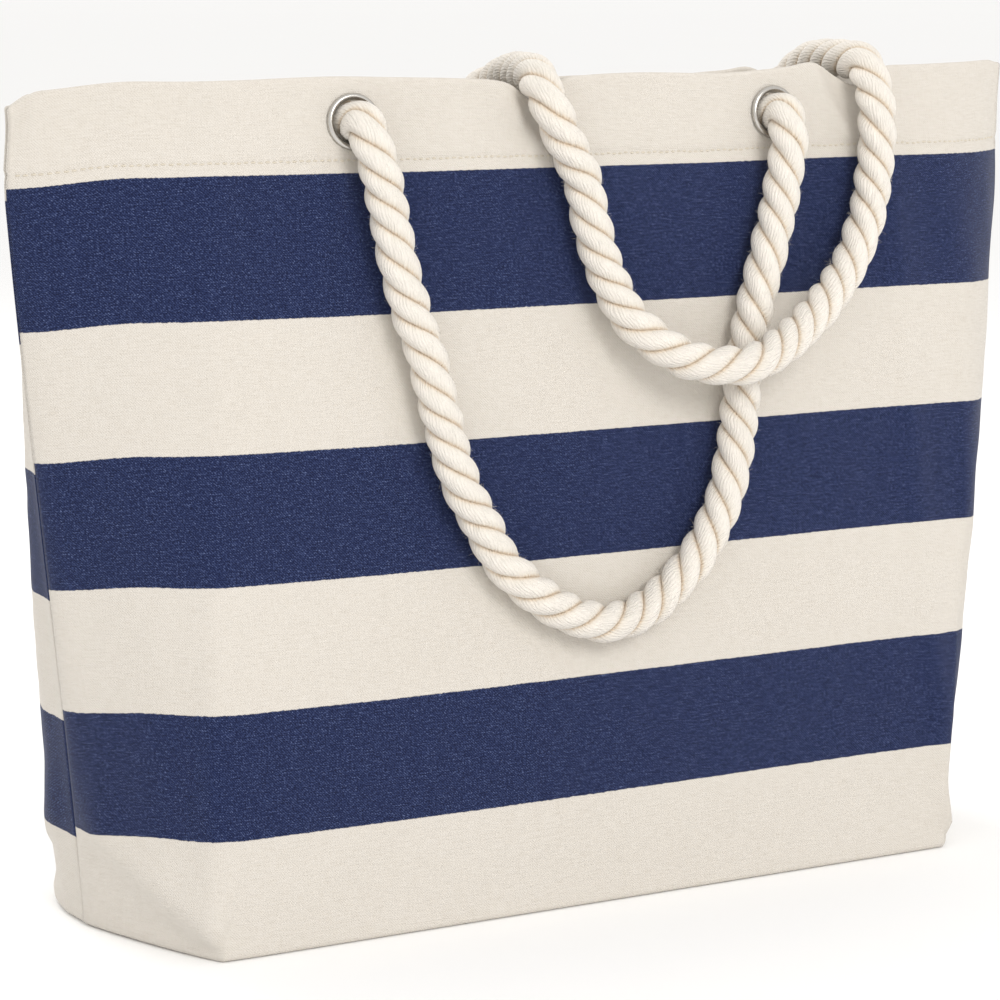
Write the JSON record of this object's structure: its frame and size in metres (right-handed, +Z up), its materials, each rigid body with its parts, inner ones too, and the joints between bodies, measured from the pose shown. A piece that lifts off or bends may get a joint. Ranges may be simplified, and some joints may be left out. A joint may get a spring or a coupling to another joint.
{
  "type": "beach bag",
  "caption": "Striped canvas beach tote with a boxed base, a flat mouth, metal eyelets in a turned hem and knotted rope handles that swing up to carry it.",
  "frame": {"origin": "centre of the flat base, on the surface that the bag stands on", "axes": "+X along the width to the wearer's right when facing the front, -Y out of the front panel, +Z up"},
  "size_m": [0.486, 0.1551, 0.3756],
  "materials": {
    "canvas": "plain woven cotton canvas, natural with navy stripes",
    "thread": "matt cotton sewing thread",
    "rope": "three-strand twisted natural cotton",
    "eyelet_metal": "polished nickel plate"
  },
  "bodies": {
    "bag": {"front_panel": "canvas", "back_panel": "canvas", "front_hem": "canvas", "back_hem": "canvas", "left_side_seam": "canvas", "right_side_seam": "canvas", "left_corner_seam": "canvas", "right_corner_seam": "canvas", "base_seam": "canvas", "front_hem_thread": "thread", "back_hem_thread": "thread", "front_left_eyelet": "eyelet_metal", "front_right_eyelet": "eyelet_metal", "back_left_eyelet": "eyelet_metal", "back_right_eyelet": "eyelet_metal", "front_left_washer": "eyelet_metal", "front_right_washer": "eyelet_metal", "back_left_washer": "eyelet_metal", "back_right_washer": "eyelet_metal", "front_left_rope_end": "rope", "front_right_rope_end": "rope", "back_left_rope_end": "rope", "back_right_rope_end": "rope", "front_left_knot": "rope", "front_right_knot": "rope", "back_left_knot": "rope", "back_right_knot": "rope"},
    "front_handle": {"front_handle_rope": "rope"},
    "back_handle_legs": {"back_left_leg": "rope", "back_right_leg": "rope"},
    "back_handle_crossing": {"left_mouth_crossing": "rope", "right_mouth_crossing": "rope"},
    "back_handle": {"back_handle_rope": "rope"}
  },
  "joints": [
    {"name": "front_handle_swing", "type": "hinge", "parent": "bag", "child": "front_handle", "pos_m": [0, -0.04349, 0.34232], "axis": [-1, 0, 0], "range_deg": [0, 170]},
    {"name": "back_handle_fall", "type": "hinge", "parent": "bag", "child": "back_handle_legs", "pos_m": [0, 0.04349, 0.34232], "axis": [-1, 0, 0], "range_deg": [0, 145]},
    {"name": "back_handle_rise", "type": "hinge", "parent": "back_handle_legs", "child": "back_handle_crossing", "pos_m": [0, 0.041, 0.367], "axis": [-1, 0, 0], "range_deg": [0, 85]},
    {"name": "back_handle_unbend", "type": "hinge", "parent": "back_handle_crossing", "child": "back_handle", "pos_m": [0, -0.041, 0.367], "axis": [-1, 0, 0], "range_deg": [0, 85]}
  ],
  "couplings": [
    {"joint": "back_handle_unbend", "follows": "back_handle_rise", "ratio": 1},
    {"joint": "front_handle_swing", "follows": "back_handle_rise", "ratio": 2}
  ]
}
